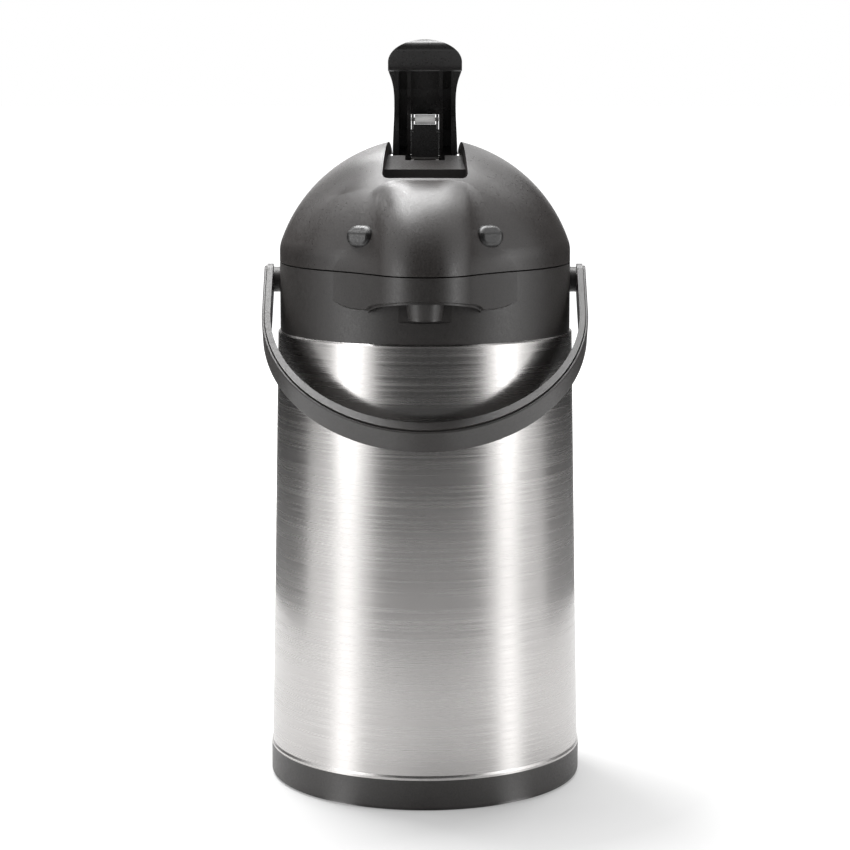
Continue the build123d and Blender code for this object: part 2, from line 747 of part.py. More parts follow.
def lever_block(corners, half_width):
    return lever_plate(make_face(Polyline(*corners, close=True)), half_width)


def lever_side_outline():
    """The lever from the side: a curved back, a round hooked head and a straight front."""
    head = lever_length
    foot = (-2.5, 6.0)
    top = (head, -5.0)
    back = Spline(foot, (10, 11.2), (35, 15.0), (head - 18.6, 13.4), (head - 8.6, 9.2), (head - 2.2, 2.6), top)
    brow = ThreePointArc(top, (head - 1.1, -8.0), (head - 4.0, -9.0))
    lip = ThreePointArc((head - 12.0, -9.0), (head - 16.4, -7.2), (head - 18.0, -3.0))
    front = Polyline((head - 18.0, -3.0), (head - 19.4, 7.0), (21.5, 7.0), (16.0, 1.0), (4.0, -5.0), foot)
    return make_face([back, brow, Line((head - 4.0, -9.0), (head - 12.0, -9.0)), lip, front])


def lever_front_outline():
    """The lever from the front, as heights above its pivot: straight foot, waist and arched head."""
    wide = lever_head_half_width
    arch_foot = lever_length * cos(radians(lever_lean)) - lever_head_drop - lever_head_arch
    foot = lever_foot_half_width
    side = Spline((foot, 2.0), (foot - 0.3, 12.0), (lever_half_width, 27.0), (lever_half_width + 0.6, 39.0),
                  (wide - 0.8, 44.5), (wide, 47.5), tangents=((0, 1), (0, 1)))
    arch = EllipticalCenterArc((0, arch_foot), wide, lever_head_arch, 0, arc_size=180)
    return make_face([
        Line((-foot, -12.0), (foot, -12.0)), Line((foot, -12.0), (foot, 2.0)), side,
        Line((wide, 47.5), (wide, arch_foot)), arch, Line((-wide, arch_foot), (-wide, 47.5)),
        mirror(side, Plane.YZ), Line((-foot, 2.0), (-foot, -12.0))])


def make_lever():
    head = lever_length
    whole_width = (-channel_front_half_width, channel_front_half_width)
    body = lever_plate(lever_side_outline(), channel_front_half_width)
    body += rod_x(lever_hub_radius, whole_width, lever_pivot_y, lever_pivot_z)
    body &= extrude(Plane.XZ * Pos(0, lever_pivot_z) * lever_front_outline(), dome_ball_radius, both=True)
    hollow_end = head - lever_head_depth
    hollow = [(4, 5.5), (12, 9.0), (35, 13.0), (hollow_end, 11.5), (hollow_end, -10), (4, -10)]
    body -= lever_block(hollow, lever_half_width - lever_wall)
    body += make_lever_ribs()
    window = [(-10, -15), (lever_window_top, -15), (lever_window_top, 20), (-10, 20)]
    body -= lever_block(window, lever_window_half_width)
    return body - rod_x(lever_axle_radius + pin_fit, whole_width, lever_pivot_y, lever_pivot_z)


def make_lever_ribs():
    """Two ribs beside the window; below, they are the slotted lugs beside the pump's yoke."""
    rib_outer = lever_window_half_width + lever_rib_wall
    end = lever_length - lever_head_depth
    rib_outline = [(2, -4.5), (29, -4.5), (32, 9.5), (end, 9.0), (end, 12.5), (35, 14.0), (3, 8.0)]
    rib = lever_block(rib_outline, rib_outer)
    first, last = lever_slot_span
    slot = SlotCenterToCenter(last - first, 2 * lever_slot_radius)
    rib -= lever_plate(Pos((first + last) / 2, lever_slot_off) * slot, rib_outer)
    window = (-lever_window_half_width, lever_window_half_width)
    return rib - block(window, (-dome_ball_radius, dome_ball_radius), (pocket_floor_z, 2 * pocket_floor_z))


# Pump under the lever
def make_plunger():
    """The plunger's disc and its post, with a skin over the yoke's legs that has a small hole at each side."""
    body = disc(plunger_radius, plunger_z, plunger_z + plunger_thick)
    front = post_y - post_half_depth
    shoulder_z = barrel_z - post_shoulder_drop
    half = post_half_width + yoke_thick
    body += block((-post_half_width, post_half_width), (front, post_y + post_half_depth),
                  (plunger_z, barrel_z - barrel_radius - barrel_gap))
    body += block((-half, half), (front, front + post_skin), (yoke_foot_z + yoke_bar_height + press_gap, shoulder_z))
    for side in (-1, 1):
        hole_x = side * (half - rivet_hole_inset)
        body -= rod_y(rivet_hole_radius, (front, front + post_skin), hole_x, shoulder_z - rivet_hole_drop)
    return body


def make_post_yoke():
    """A bent steel strap: a leg on each side of the roller and a bar across the post's foot."""
    front = post_y - post_half_depth
    inner_x = post_half_width + press_gap
    span = (inner_x, post_half_width + yoke_thick)
    leg_front = front + post_skin + press_gap
    bar_top = yoke_foot_z + yoke_bar_height
    leg = block(span, (leg_front, post_y + yoke_radius), (yoke_foot_z, barrel_z))
    leg += rod_x(yoke_radius, span, post_y, barrel_z)
    leg += block(span, (front - yoke_bar_depth, leg_front), (yoke_foot_z, bar_top))
    leg -= rod_x(barrel_pin_radius + press_gap, span, post_y, barrel_z)
    bar = block((-inner_x, inner_x), (front - yoke_bar_depth, front - press_gap), (yoke_foot_z, bar_top))
    return leg + mirror(leg, Plane.YZ) + bar


def make_barrel():
    span = (-barrel_half_length, barrel_half_length)
    barrel = rod_x(barrel_radius, span, post_y, barrel_z)
    return barrel - rod_x(barrel_pin_radius + pin_fit, span, post_y, barrel_z)


def make_barrel_pin():
    half = post_half_width + yoke_thick + pin_head
    return rod_x(barrel_pin_radius, (-half, half), post_y, barrel_z)


def make_lid_base():
    body = disc(collar_radius - dome_wall - seat_gap, dome_bottom_z, lid_base_top_z)
    body -= disc(housing_radius + press_gap, dome_bottom_z, lid_base_top_z)
    for side in (-1, 1):
        body -= latch_slot(side)
    for x, y in lid_screw_places:
        body -= Pos(x, y, 0) * disc(screw_radius + press_gap, dome_bottom_z, lid_base_top_z)
    return body


def make_lid_screws():
    return screws_at(lid_screw_places, dome_bottom_z, dome_bottom_z + lid_screw_length)


def make_pump_housing():
    inner = housing_radius - housing_wall
    body = ring(housing_radius, inner, dome_bottom_z, housing_top_z)
    body += ring(housing_radius + housing_flange, housing_radius, lid_base_top_z, lid_base_top_z + housing_wall)
    return body + ring(inner, valve_radius, dome_bottom_z, lid_base_top_z)


def make_stopper():
    return ring(stopper_radius, valve_radius + stopper_bore_gap, stopper_bottom_z, dome_bottom_z)


def make_stopper_gasket():
    return ring(stopper_radius, stopper_radius - gasket_width, stopper_bottom_z - stopper_gasket_thick, stopper_bottom_z)


def make_air_valve():
    """A flap with a stem that covers the hole in the pump's floor."""
    flap_top_z = lid_base_top_z + valve_thick
    flap = disc(valve_radius + valve_lap, lid_base_top_z, flap_top_z)
    return flap + disc(valve_stem_radius, flap_top_z, lid_base_top_z + valve_height)


def make_bellows():
    """A ribbed rubber cylinder between the pump's floor and the plunger."""
    outer_radius = plunger_radius - bellows_inset
    step = (plunger_z - lid_base_top_z) / bellows_folds
    outside = [(bellows_inner_radius + bellows_wall, lid_base_top_z)]
    for fold in range(bellows_folds):
        outside.append((outer_radius, lid_base_top_z + step * (fold + 0.5)))
        outside.append((bellows_inner_radius + bellows_wall, lid_base_top_z + step * (fold + 1)))
    inside = [(radius - bellows_wall, z) for radius, z in reversed(outside)]
    return turned(*(outside + inside))


def make_return_spring():
    return ring(spring_radius, spring_radius - spring_wire, lid_base_top_z + spring_lift, plunger_z)


# Lid release buttons
def button_frame(side):
    """A plane on the lid's surface at a button, its Z outwards and its Y up."""
    angle = radians(button_angle)
    origin = (side * button_reach * sin(angle), -button_reach * cos(angle), button_z)
    return Plane(origin=origin, x_dir=(cos(angle), side * sin(angle), 0), z_dir=(side * sin(angle), -cos(angle), 0))


def button_hole(side):
    hole = RectangleRounded(button_width + 2 * button_gap, button_height + 2 * button_gap, button_corner + button_gap)
    return extrude(button_frame(side) * hole, button_flange_depth + button_stand_out, both=True)


def make_button(side):
    """A rounded push button with a bevelled upper face and a flange behind the lid's wall."""
    outline = Pos(0, 0, -button_flange_depth) * RectangleRounded(button_width, button_height, button_corner)
    body = extrude(outline, button_flange_depth + button_stand_out)
    bevel_size = Box(2 * button_width, 2 * button_height, button_stand_out)
    turn = Rot(-button_bevel_angle, 0, side * button_bevel_turn)
    body -= Pos(-side * button_bevel_shift, button_height / 2, button_stand_out) * turn * bevel_size
    rim = body.edges().filter_by(lambda e: e.center().Z > 0.5 and e.bounding_box().max.Z > 1.5)
    body = fillet(rim, button_edge_round)
    lap = 2 * button_flange_lap
    flange = Box(button_width + lap, button_height + lap, button_flange_thick,
                 align=(Align.CENTER, Align.CENTER, Align.MAX))
    return button_frame(side) * (body + Pos(0, 0, -button_flange_depth) * flange)


def latch_bar(half_width, low_z, high_z, inner_reach, outer_reach):
    """A bar behind a button, from heights and from distances to the body's axis."""
    return block((-half_width, half_width), (-outer_reach, -inner_reach), (low_z, high_z))


def make_latch_arm(side):
    """The upright arm from a button's flange down to the hook under the collar's catch."""
    inner = latch_arm_reach - latch_thick
    arm = latch_bar(latch_half_width, latch_foot_z, button_z + latch_half_width, inner, latch_arm_reach)
    arm += latch_bar(latch_half_width, latch_foot_z, latch_foot_z + latch_hook_height, inner, latch_reach)
    return Rot(0, 0, side * button_angle) * arm


def latch_slot(side):
    """The hole in the lid's floor that a latch arm moves in."""
    inner = latch_arm_reach - latch_thick - button_travel - button_gap
    slot = latch_bar(latch_half_width + button_gap, dome_bottom_z, lid_base_top_z, inner,
                     latch_arm_reach + button_gap)
    return Rot(0, 0, side * button_angle) * slot


# Bail handle, drawn hanging straight down and then swung forward
def strap_face(outer_half, outer_drop, inner_half, inner_drop):
    """The strap's outline in its own plane: an outer U less an inner U, about a pivot at (0, 0)."""
    def arch(half, drop):
        bow = make_face([
            Line((-half, 0), (half, 0)), Line((half, 0), (half, handle_arc_z)),
            EllipticalCenterArc((0, handle_arc_z), half, drop + handle_arc_z, 180, arc_size=180),
            Line((-half, handle_arc_z), (-half, 0))])
        return bow
    return arch(outer_half, outer_drop) - arch(inner_half, inner_drop)


def arm_ends(inner_half, outer_half, radius):
    ends = rod_x(radius, (inner_half, outer_half), 0, 0)
    return ends + mirror(ends, Plane.YZ)


def make_handle():
    inner_half = handle_half_width - handle_arm_thick
    strap_outer = handle_half_width - cover_thick
    face = strap_face(strap_outer, handle_reach - cover_thick, inner_half, handle_reach - handle_grip_thick)
    body = extrude(Plane.XZ * face, handle_strap_width / 2, both=True)
    body += arm_ends(inner_half, strap_outer, handle_strap_width / 2)
    bores = arm_ends(inner_half, inner_half + handle_pin_bite, handle_pin_radius + pin_fit)
    return swing_handle(body - bores)


def make_handle_cover():
    strap_outer = handle_half_width - cover_thick
    face = strap_face(handle_half_width, handle_reach, strap_outer, handle_reach - cover_thick)
    half = handle_strap_width / 2 - cover_inset
    body = extrude(Plane.XZ * face, half, both=True) + arm_ends(strap_outer, handle_half_width, half)
    return swing_handle(fillet(body.edges(), cover_edge_round))


def swing_handle(body):
    return Pos(0, 0, handle_pivot_z) * Rot(-handle_tilt, 0, 0) * body


pieces = {
    "base_ring": make_base_ring(),
    "base_plate": make_base_plate(),
    "base_screws": make_base_screws(),
    "bottle_cushion": make_bottle_cushion(),
    "outer_shell": make_outer_shell(),
    "bottle_outer_wall": make_bottle_outer(),
    "bottle_inner_floor": make_bottle_inner_floor(),
    "bottle_inner_foot": make_bottle_inner_foot(),
    "bottle_inner_wall": inner_bottle_length(inner_foot_weld_z, inner_neck_weld_z),
    "bottle_inner_neck": make_bottle_inner_neck(),
    "neck_gasket": make_neck_gasket(),
    "collar": make_collar(),
    "nozzle": make_nozzle(),
    "discharge_pipe": make_discharge_pipe(),
    "tube_head": make_tube_head(),
    "riser_tube": make_riser_tube(),
    "hinge_pin": make_hinge_pin(),
    "handle_pin_left": make_handle_pin(-1),
    "handle_pin_right": make_handle_pin(1),
    "handle": make_handle(),
    "handle_cover": make_handle_cover(),
    "dome": make_dome(),
    "lever_tray": make_lever_tray(),
    "lever_axle": make_lever_axle(),
    "lid_base": make_lid_base(),
    "lid_screws": make_lid_screws(),
    "pump_housing": make_pump_housing(),
    "stopper": make_stopper(),
    "stopper_gasket": make_stopper_gasket(),
    "air_valve": make_air_valve(),
    "bellows": make_bellows(),
    "return_spring": make_return_spring(),
    "plunger": make_plunger(),
    "post_yoke": make_post_yoke(),
    "barrel": make_barrel(),
    "barrel_pin": make_barrel_pin(),
    "lever": make_lever(),
    "release_button_left": make_button(-1),
    "release_button_right": make_button(1),
    "latch_arm_left": make_latch_arm(-1),
    "latch_arm_right": make_latch_arm(1),
}

os.makedirs("parts", exist_ok=True)
for name, piece in pieces.items():
    export_step(piece, f"parts/{name}.step")
    print(name, round(piece.volume, 1))
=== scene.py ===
import json
import math
import bmesh
import bpy
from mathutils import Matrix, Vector


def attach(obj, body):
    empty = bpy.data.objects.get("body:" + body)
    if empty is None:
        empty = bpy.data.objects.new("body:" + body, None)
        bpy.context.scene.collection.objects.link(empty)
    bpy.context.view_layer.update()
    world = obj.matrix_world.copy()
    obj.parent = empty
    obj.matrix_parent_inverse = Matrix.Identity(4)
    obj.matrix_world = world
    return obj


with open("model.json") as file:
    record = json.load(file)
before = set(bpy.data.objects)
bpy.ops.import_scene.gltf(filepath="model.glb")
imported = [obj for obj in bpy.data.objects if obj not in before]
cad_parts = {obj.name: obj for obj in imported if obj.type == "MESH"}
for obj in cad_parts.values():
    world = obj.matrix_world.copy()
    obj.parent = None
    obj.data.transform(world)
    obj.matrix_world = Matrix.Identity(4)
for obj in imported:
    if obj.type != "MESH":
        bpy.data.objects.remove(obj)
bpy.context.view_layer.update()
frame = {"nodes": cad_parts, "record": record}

nodes = frame["nodes"]
print("frame loaded:", len(nodes), "nodes")


# one value in a shader's maths
class Wire:
    def __init__(self, shader, socket):
        self.shader = shader
        self.socket = socket

    def __add__(self, other):
        return self.shader.maths("ADD", self, other)

    def __radd__(self, other):
        return self.shader.maths("ADD", other, self)

    def __sub__(self, other):
        return self.shader.maths("SUBTRACT", self, other)

    def __rsub__(self, other):
        return self.shader.maths("SUBTRACT", other, self)

    def __mul__(self, other):
        return self.shader.maths("MULTIPLY", self, other)

    def __rmul__(self, other):
        return self.shader.maths("MULTIPLY", other, self)


class Shader:
    def __init__(self, tree):
        self.tree = tree
        tree.nodes.clear()

    # one node: its settings first, then the values or links of its sockets
    def node(self, kind, settings, values, output=0):
        made = self.tree.nodes.new(kind)
        for key, value in settings.items():
            setattr(made, key, value)
        for key, value in values.items():
            if isinstance(value, Wire):
                self.tree.links.new(value.socket, made.inputs[key])
            else:
                made.inputs[key].default_value = value
        return Wire(self, made.outputs[output]) if made.outputs else None

    def maths(self, operation, first, second):
        return self.node("ShaderNodeMath", {"operation": operation}, {0: first, 1: second})

    # 1 for rays of one kind and 0 for the others
    def ray(self, kind):
        return self.node("ShaderNodeLightPath", {}, {}, "Is %s Ray" % kind)


noiseMiddle = {"From Min": 0.3, "From Max": 0.7}  # most of a noise's values lie in this range


class Finish(Shader):
    def __init__(self, name):
        self.material = bpy.data.materials.new(name)
        self.material.use_nodes = True
        super().__init__(self.material.node_tree)
        self.place = self.node("ShaderNodeTexCoord", {}, {}, "Object")

    def along(self, axis):
        return self.node("ShaderNodeSeparateXYZ", {}, {"Vector": self.place}, axis)

    # a noise's middle range laid over low to high
    def spread(self, wire, low, high):
        values = {**noiseMiddle, "Value": wire, "To Min": low, "To Max": high}
        return self.node("ShaderNodeMapRange", {}, values)

    # an eased step from one value to another
    def ease(self, wire, start, end, low, high):
        values = {"Value": wire, "From Min": start, "From Max": end, "To Min": low, "To Max": high}
        return self.node("ShaderNodeMapRange", {"interpolation_type": "SMOOTHSTEP"}, values)

    def stretched(self, scale):
        return self.node("ShaderNodeMapping", {}, {"Vector": self.place, "Scale": scale})

    def noise(self, vector, scale, detail=2.0, roughness=0.5):
        values = {"Vector": vector, "Scale": scale, "Detail": detail, "Roughness": roughness}
        return self.node("ShaderNodeTexNoise", {}, values, "Fac")

    def blend(self, share, first, second):
        return self.node("ShaderNodeMix", {"data_type": "RGBA"}, {0: share, 6: first, 7: second}, 2)

    def bump(self, height, strength, distance):
        return self.node("ShaderNodeBump", {}, {"Height": height, "Strength": strength, "Distance": distance})

    def matt(self, level):
        return self.node("ShaderNodeBsdfDiffuse", {}, {"Color": grey(level)})

    def output(self, surface):
        self.node("ShaderNodeOutputMaterial", {}, {"Surface": surface})
        return self.material

    def close(self, values):
        return self.output(self.node("ShaderNodeBsdfPrincipled", {}, values))


def grey(level):
    return (level, level, level, 1.0)


mouldedPlastic = {"grain": 1000.0, "grainDetail": 3.0, "grainRoughness": 0.6, "grainDepth": 0.00007,
                  "cloud": 22.0, "cloudInShade": 0.3, "cloudInRoughness": 0.2, "dust": 1100.0,
                  "dustDetail": 4.0, "dustRoughness": 0.7, "speckGain": 1.7, "speckLift": 0.010,
                  "speckLimit": 0.9, "roughnessRange": 0.13, "specularLevel": 0.65}


def plasticFinish(name, colour, roughness, grainStrength):
    finish = Finish(name)
    plastic = mouldedPlastic
    grain = finish.noise(finish.place, plastic["grain"], plastic["grainDetail"], plastic["grainRoughness"])
    cloud = finish.noise(finish.place, plastic["cloud"])
    dust = finish.noise(finish.place, plastic["dust"], plastic["dustDetail"], plastic["dustRoughness"])
    paler = tuple(min(plastic["speckLimit"], channel * plastic["speckGain"] + plastic["speckLift"])
                  for channel in colour) + (1.0,)
    specks = cloud * plastic["cloudInShade"] + dust * (1 - plastic["cloudInShade"])
    shade = finish.blend(finish.spread(specks, 0.0, 1.0), colour + (1.0,), paler)
    change = plastic["roughnessRange"]
    uneven = grain * (1 - plastic["cloudInRoughness"]) + cloud * plastic["cloudInRoughness"]
    rough = finish.spread(uneven, roughness - change, roughness + change)
    relief = finish.bump(grain, grainStrength, plastic["grainDepth"])
    return finish.close({"Base Color": shade, "Roughness": rough, "Normal": relief,
                         "Specular IOR Level": plastic["specularLevel"]})


brushed = {"lineScale": (5.0, 5.0, 900.0), "lineDetail": 5.0, "lineRoughness": 0.7, "lineStrength": 0.25,
           "lineDepth": 0.00003, "streakScale": (3.0, 3.0, 60.0), "streakShare": 0.4, "darkest": 0.88,
           "roughnessRange": 0.06, "anisotropic": 0.62}


def steelFinish(name, colour, roughness, anisotropic):
    finish = Finish(name)
    alongLines = finish.stretched(brushed["lineScale"])
    lines = finish.noise(alongLines, 1.0, brushed["lineDetail"], brushed["lineRoughness"])
    streaks = finish.noise(finish.stretched(brushed["streakScale"]), 1.0)
    darker = tuple(channel * brushed["darkest"] for channel in colour) + (1.0,)
    brushing = lines * (1 - brushed["streakShare"]) + streaks * brushed["streakShare"]
    shade = finish.blend(finish.spread(brushing, 0.0, 1.0), darker, colour + (1.0,))
    change = brushed["roughnessRange"]
    rough = finish.spread(lines, roughness - change, roughness + change)
    relief = finish.bump(lines, brushed["lineStrength"], brushed["lineDepth"])
    return finish.close({"Base Color": shade, "Metallic": 1.0, "Roughness": rough, "Normal": relief,
                         "Anisotropic": anisotropic})


# plastics and rubbers: colour, roughness, strength of grain; steels: colour, roughness, anisotropy
finishes = {
    "blackShell": plasticFinish("blackShell", (0.017, 0.0145, 0.0135), 0.37, 0.4),
    "blackBand": plasticFinish("blackBand", (0.017, 0.015, 0.014), 0.42, 0.4),
    "blackLever": plasticFinish("blackLever", (0.009, 0.0085, 0.0085), 0.34, 0.15),
    "blackHandle": plasticFinish("blackHandle", (0.020, 0.018, 0.017), 0.40, 0.35),
    "greyPlastic": plasticFinish("greyPlastic", (0.32, 0.32, 0.32), 0.45, 0.15),
    # pale plastic: written paler than the real piece, as painted light that makes up for the shade the roller
    # sits in under the lever
    "palePlasticLightened": plasticFinish("palePlasticLightened", (0.80, 0.79, 0.77), 0.4, 0.1),
    "darkRubber": plasticFinish("darkRubber", (0.03, 0.03, 0.03), 0.7, 0.4),
    "clearRubber": plasticFinish("clearRubber", (0.7, 0.7, 0.66), 0.55, 0.1),
    "brushedSteel": steelFinish("brushedSteel", (0.56, 0.545, 0.535), 0.25, brushed["anisotropic"]),
    "linerSteel": steelFinish("linerSteel", (0.62, 0.61, 0.60), 0.3, 0.2),
    "brightSteel": steelFinish("brightSteel", (0.72, 0.71, 0.70), 0.2, 0.0),
}
slotFinish = {
    "black_plastic": "blackShell", "grey_plastic": "greyPlastic", "pale_plastic": "palePlasticLightened",
    "brushed_steel": "brushedSteel", "liner_steel": "linerSteel", "bright_steel": "brightSteel",
    "dark_rubber": "darkRubber", "clear_rubber": "clearRubber",
}
ownFinish = {
    "collar": "blackBand", "base_ring": "blackBand", "base_plate": "blackBand", "nozzle": "blackBand",
    "handle": "blackHandle", "handle_cover": "blackHandle", "lever": "blackLever", "lever_tray": "blackBand",
    "plunger": "blackLever", "release_button_left": "blackLever", "release_button_right": "blackLever",
}
for part in frame["record"]["subparts"]:
    surface = ownFinish.get(part["node"], slotFinish[part["material_slot"]])
    materials = nodes[part["node"]].data.materials
    materials.clear()
    materials.append(finishes[surface])
print("finishes given")


# the beak and ridge: skins over the moulded band and lid, blended out to the round on both sides
beak = {"roundRadius": 0.0784, "noseRadius": 0.028, "reach": 0.1005, "seam": 0.2825, "wideBlend": 0.16,
        "proud": 0.00008, "sunk": 0.0002, "noseShare": 0.5, "blendShare": 0.42, "lapShare": 0.08,
        "lapDegrees": 3.0, "columns": 96, "wall": 0.0010, "smoothDegrees": 40}


# a point on the outline in plan at a share from the nose's tip to the round behind the blend
def planPoint(roundRadius, reach, noseRadius, blendRadius, share):
    noseY = noseRadius - reach
    toBlend = roundRadius + blendRadius
    cosine = (toBlend ** 2 + noseY ** 2 - (noseRadius + blendRadius) ** 2) / (2 * toBlend * -noseY)
    blendAt = Vector((toBlend * math.sqrt(1 - cosine ** 2), -toBlend * cosine))
    roundTurn = math.atan2(blendAt.x, -blendAt.y)
    noseTurn = math.atan2(blendAt.x, noseY - blendAt.y)
    lapStart = beak["noseShare"] + beak["blendShare"]
    if share < beak["noseShare"]:
        turn = noseTurn * share / beak["noseShare"]
        out = noseRadius + beak["proud"]
        return Vector((out * math.sin(turn), noseY - out * math.cos(turn)))
    if share < lapStart:
        part = (share - beak["noseShare"]) / beak["blendShare"]
        turn = noseTurn + part * (roundTurn - noseTurn)
        out = blendRadius - beak["proud"] + part ** 3 * (beak["proud"] + beak["sunk"] / 2)
        return Vector((blendAt.x - out * math.sin(turn), blendAt.y + out * math.cos(turn)))
    part = (share - lapStart) / beak["lapShare"]
    turn = roundTurn + math.radians(beak["lapDegrees"]) * part
    out = roundRadius - beak["sunk"] * (1 + part) / 2
    return Vector((out * math.sin(turn), -out * math.cos(turn)))


# a flat grid from -1 to 1 both ways, to be laid on a curved shape
def gridPiece(name, columns, rows):
    bpy.ops.object.select_all(action="DESELECT")
    bpy.ops.mesh.primitive_grid_add(x_subdivisions=columns, y_subdivisions=rows, size=2.0, location=(0, 0, 0))
    piece = bpy.context.object
    piece.name = name
    return piece


# turns a skin's faces to the front, gives it a wall and closes it
def finishSkin(piece, body, finish):
    bpy.ops.object.mode_set(mode="EDIT")
    bpy.ops.mesh.select_all(action="SELECT")
    bpy.ops.mesh.normals_make_consistent(inside=False)
    bpy.ops.object.mode_set(mode="OBJECT")
    backward = sum(face.normal.y * face.area for face in piece.data.polygons)
    if backward > 0:
        piece.data.flip_normals()
    wall = piece.modifiers.new("wall", "SOLIDIFY")
    wall.thickness = beak["wall"]
    wall.offset = -1.0
    wall.use_even_offset = False
    bpy.ops.object.modifier_apply(modifier="wall")
    bpy.ops.object.shade_smooth_by_angle(angle=math.radians(beak["smoothDegrees"]))
    piece.data.materials.append(finishes[finish])
    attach(piece, body)


bandFlare = {"rows": 12, "skirtShare": 0.9, "seamGap": 0.0007, "lowEdge": 0.2625, "mouthHalf": 0.030,
             "mouthRise": 0.0068, "upturnFrom": 0.036, "upturn": 22.0, "innerRadius": 0.0775,
             "lipDepth": 0.0024, "lipRise": 0.0001}


# lower edge of the band's beak: arched over the nozzle, level beside it and turned up at its ends
def mouthEdge(x):
    share = min(1.0, abs(x) / bandFlare["mouthHalf"])
    upturn = max(0.0, abs(x) - bandFlare["upturnFrom"]) ** 2 * bandFlare["upturn"]
    return bandFlare["lowEdge"] + bandFlare["mouthRise"] * math.sqrt(1 - share ** 2) + upturn


def makeBandFlare():
    skin = gridPiece("bandFlare", beak["columns"], bandFlare["rows"])
    top = beak["seam"] - bandFlare["seamGap"]
    innerRadius = bandFlare["innerRadius"]
    for point in skin.data.vertices:
        side = 1 if point.co.x > 0 else -1
        place = planPoint(beak["roundRadius"], beak["reach"], beak["noseRadius"], beak["wideBlend"],
                          abs(point.co.x))
        down = (1 - point.co.y) / 2
        if down < bandFlare["skirtShare"]:
            height = top + (mouthEdge(place.x) - top) * down / bandFlare["skirtShare"]
        else:  # the last rows run in under the beak
            height = mouthEdge(place.x) + bandFlare["lipRise"]
            inner = innerRadius
            if place.x <= bandFlare["mouthHalf"]:
                inner = max(innerRadius, place.length - bandFlare["lipDepth"])
            place = place * (inner / place.length)
        point.co = (side * place.x, place.y, height)
    finishSkin(skin, "base", "blackBand")


lidFlare = {"rows": 44, "lastShare": 0.955, "topNoseRadius": 0.025, "topReach": 0.0530, "topEdge": 0.3292,
            "bulge": 0.010, "ballRadius": 0.0821, "ballHeight": 0.2665, "narrowBlend": 0.040,
            "topBlend": 0.012, "flareHeight": 0.012, "fadeSharpness": 1.6}


# the ridge's crest is an arc from the seam to the lever's recess, and its flare widens near the seam
def makeLidFlare():
    rise = lidFlare["topEdge"] - beak["seam"]
    run = beak["reach"] - lidFlare["topReach"]
    chord = math.hypot(rise, run)
    bowRadius = chord ** 2 / (8 * lidFlare["bulge"]) + lidFlare["bulge"] / 2
    depth = (bowRadius - lidFlare["bulge"]) / chord
    centreReach = (beak["reach"] + lidFlare["topReach"]) / 2 - rise * depth
    centreHeight = (beak["seam"] + lidFlare["topEdge"]) / 2 - run * depth
    low = math.atan2(beak["seam"] - centreHeight, beak["reach"] - centreReach)
    high = math.atan2(lidFlare["topEdge"] - centreHeight, lidFlare["topReach"] - centreReach)
    skin = gridPiece("lidFlare", beak["columns"], lidFlare["rows"])
    for point in skin.data.vertices:
        side = 1 if point.co.x > 0 else -1
        share = lidFlare["lastShare"] * (1 + point.co.y) / 2
        turn = low + share * (high - low)
        height = centreHeight + bowRadius * math.sin(turn)
        reach = centreReach + bowRadius * math.cos(turn)
        noseRadius = beak["noseRadius"] + share * (lidFlare["topNoseRadius"] - beak["noseRadius"])
        ball = math.sqrt(lidFlare["ballRadius"] ** 2 - (height - lidFlare["ballHeight"]) ** 2)
        blend = lidFlare["narrowBlend"] + share * (lidFlare["topBlend"] - lidFlare["narrowBlend"])
        above = (height - beak["seam"]) / lidFlare["flareHeight"]
        fade = math.exp(-above ** 2 * lidFlare["fadeSharpness"])
        blend = blend * (beak["wideBlend"] / blend) ** fade
        place = planPoint(min(beak["roundRadius"], ball), reach, noseRadius, blend, abs(point.co.x))
        point.co = (side * place.x, place.y, height)
    finishSkin(skin, "lid", "blackShell")


# thin ribs down both sides of the post's front, which nearly close the gap to the lever's window
postRibs = {"inner": 0.00715, "outer": 0.0075, "front": 0.00735, "back": 0.0079, "foot": 0.3378,
            "head": 0.3527, "round": 0.00008, "roundSteps": 2, "smoothDegrees": 30}


def makePostRibs():
    bpy.ops.object.select_all(action="DESELECT")
    bpy.ops.mesh.primitive_cube_add(size=1.0, location=(0, 0, 0))
    ribs = bpy.context.object
    ribs.name = "postRibs"
    for point in ribs.data.vertices:
        point.co = (postRibs["outer"] if point.co.x > 0 else postRibs["inner"],
                    postRibs["back"] if point.co.y > 0 else postRibs["front"],
                    postRibs["head"] if point.co.z > 0 else postRibs["foot"])
    edges = ribs.modifiers.new("edges", "BEVEL")
    edges.width = postRibs["round"]
    edges.segments = postRibs["roundSteps"]
    bpy.ops.object.modifier_apply(modifier="edges")
    twin = ribs.modifiers.new("twin", "MIRROR")
    twin.use_mirror_merge = False
    bpy.ops.object.modifier_apply(modifier="twin")
    bpy.ops.object.shade_smooth_by_angle(angle=math.radians(postRibs["smoothDegrees"]))
    ribs.data.materials.append(finishes["blackLever"])
    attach(ribs, "pump")


# the camera sees the table white, and greyer round the pot's foot; reflections see it darker, with a bright
# streak on each side and a darker one in front, each given as azimuth, half width and change of level
table = {"size": 30.0, "drop": 0.0002, "shade": 0.40, "nearGlow": 0.30, "nearEdge": 0.16, "farEdge": 0.42,
         "mirrorGlow": 0.18, "streakCentre": 0.047,
         "streaks": ((-61.0, 15.0, 1.55), (65.0, 14.0, 1.55), (3.0, 40.0, -0.17))}


